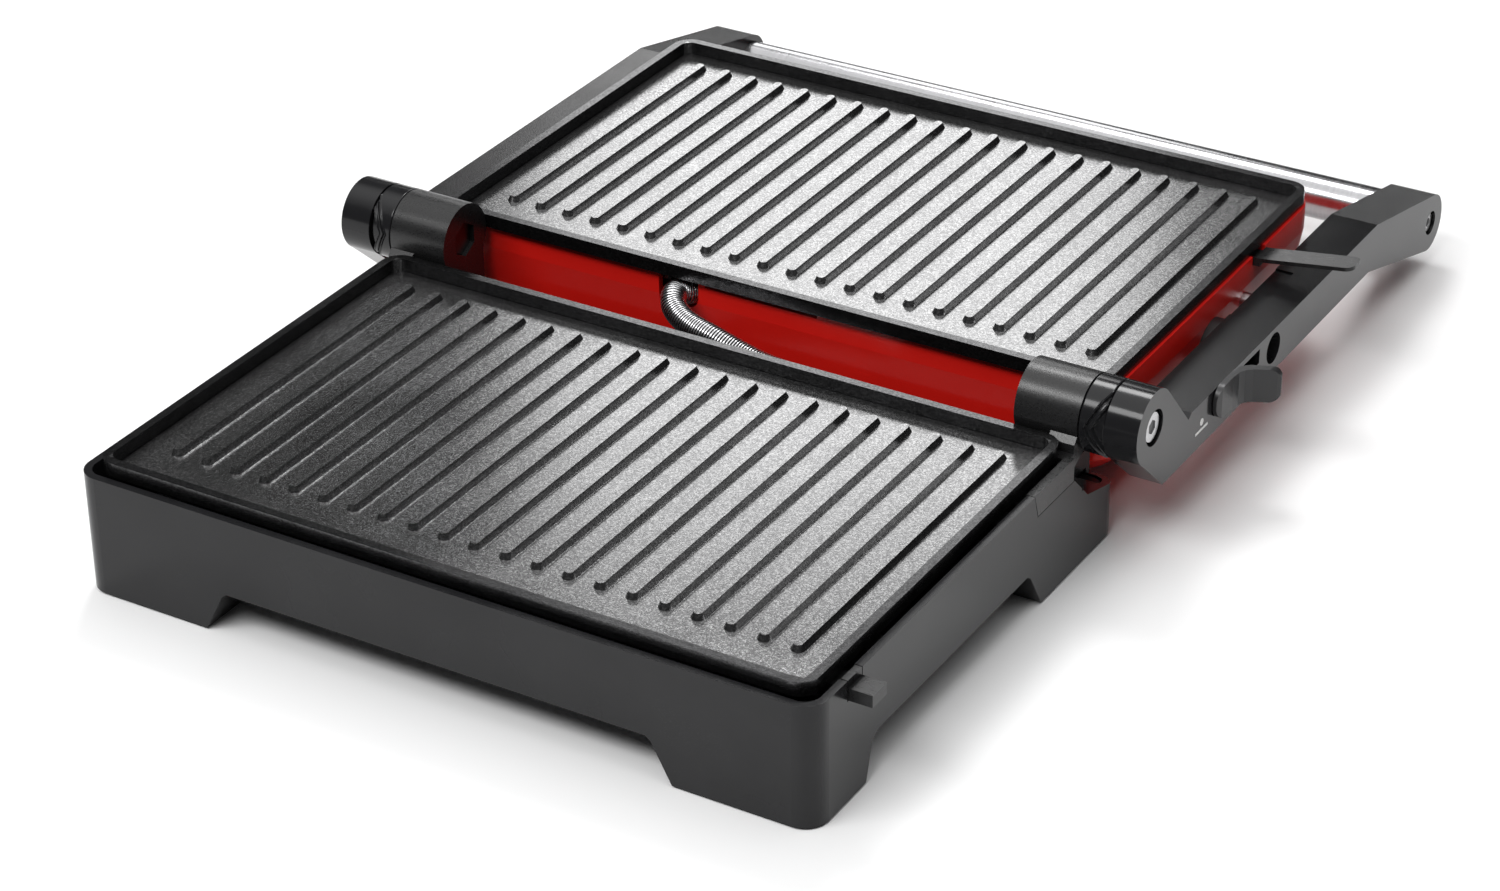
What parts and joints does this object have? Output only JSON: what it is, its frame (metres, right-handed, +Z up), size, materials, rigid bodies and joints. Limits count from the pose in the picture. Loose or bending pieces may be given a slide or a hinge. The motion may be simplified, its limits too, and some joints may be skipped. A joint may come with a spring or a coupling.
{
  "type": "panini press",
  "caption": "Contact grill lying fully open: black base and red floating lid, each with a ribbed non-stick plate, side arms, steel bar handle, release lever and plate latches.",
  "frame": {"origin": "on the table, at the middle of the part's own outline seen from above, with the press lying fully open", "axes": "+Y from the base to the opened lid, +X along the hinge towards the side with the latches and the release lever, +Z up from the table"},
  "size_m": [0.3586, 0.4805, 0.0708],
  "materials": {
    "black_shell": "gloss black moulded shell",
    "black_plastic": "fine-grained black plastic",
    "white_plastic": "plain white plastic",
    "rubber": "dull black rubber",
    "coated_plate": "cast aluminium with a grey-black non-stick coating",
    "pan_metal": "bare pressed sheet",
    "element_steel": "dull grey sheath",
    "steel": "plain steel",
    "brushed_bar": "bright steel brushed along its length",
    "cast_metal": "cast, satin dark grey paint",
    "arm_paint": "black enamel, gloss sides and a matte textured top",
    "latch_metal": "satin black",
    "red_shell": "gloss red",
    "lamp_lens": "tinted lens"
  },
  "bodies": {
    "base": {"base_shell": "black_shell", "base_cover": "black_plastic", "rubber_feet": "rubber", "base_screws": "steel", "lower_plate": "coated_plate", "lower_reflector": "pan_metal", "lower_element": "element_steel", "lower_element_clamps": "pan_metal", "lower_thermostat": "steel", "thermal_fuse": "steel", "terminal_block": "white_plastic", "mains_gland": "black_plastic", "hinge_bracket_left": "cast_metal", "hinge_bracket_right": "cast_metal", "bracket_screws": "steel", "hinge_bolt_left": "steel", "hinge_bolt_right": "steel", "stop_ring_left": "arm_paint", "stop_ring_right": "arm_paint", "hinge_nuts": "steel", "conduit_base_gland": "black_plastic", "wiring_conduit": "steel", "lower_latch_spring": "steel"},
    "lower_latch": {"lower_latch": "latch_metal"},
    "arms": {"arm_left": "arm_paint", "arm_right": "arm_paint", "arm_cover_left": "black_plastic", "arm_cover_right": "black_plastic", "arm_cover_screws": "steel", "hinge_bush_left": "white_plastic", "hinge_bush_right": "white_plastic", "hinge_washers": "steel", "pivot_pin_left": "steel", "pivot_pin_right": "steel", "handle_bar": "brushed_bar", "handle_end_plugs": "black_plastic", "handle_screws": "steel", "opening_mark": "white_plastic", "release_spring": "steel"},
    "release": {"release_knob": "black_plastic", "release_bar": "steel"},
    "lid": {"lid_shell": "red_shell", "upper_plate": "coated_plate", "upper_reflector": "pan_metal", "upper_element": "element_steel", "upper_element_clamps": "pan_metal", "upper_thermostat": "steel", "pivot_hub_left": "black_plastic", "pivot_hub_right": "black_plastic", "float_stop_pins": "steel", "lid_rest_pads": "rubber", "conduit_lid_clamp": "pan_metal", "indicator_lamps": "lamp_lens", "upper_latch_spring": "steel"},
    "upper_latch": {"upper_latch": "latch_metal"}
  },
  "joints": [
    {"name": "arm_hinge", "type": "hinge", "parent": "base", "child": "arms", "pos_m": [-0.008, -0.03625, 0.0563], "axis": [1, 0, 0], "range_deg": [0, 177], "deforming": ["wiring_conduit"]},
    {"name": "lid_float", "type": "hinge", "parent": "arms", "child": "lid", "pos_m": [-0.008, 0.06875, 0.0384], "axis": [1, 0, 0], "range_deg": [0, 2.9]},
    {"name": "release_slide", "type": "slide", "parent": "arms", "child": "release", "axis": [0, 1, 0], "range_m": [0, 0.008], "stiffness_N_per_m": 300, "springref_m": -0.004, "deforming": ["release_spring"]},
    {"name": "upper_latch_slide", "type": "slide", "parent": "lid", "child": "upper_latch", "axis": [1, 0, 0], "range_m": [0, 0.003], "stiffness_N_per_m": 300, "springref_m": -0.004, "deforming": ["upper_latch_spring"]},
    {"name": "lower_latch_slide", "type": "slide", "parent": "base", "child": "lower_latch", "axis": [1, 0, 0], "range_m": [0, 0.003], "stiffness_N_per_m": 300, "springref_m": -0.004, "deforming": ["lower_latch_spring"]}
  ]
}
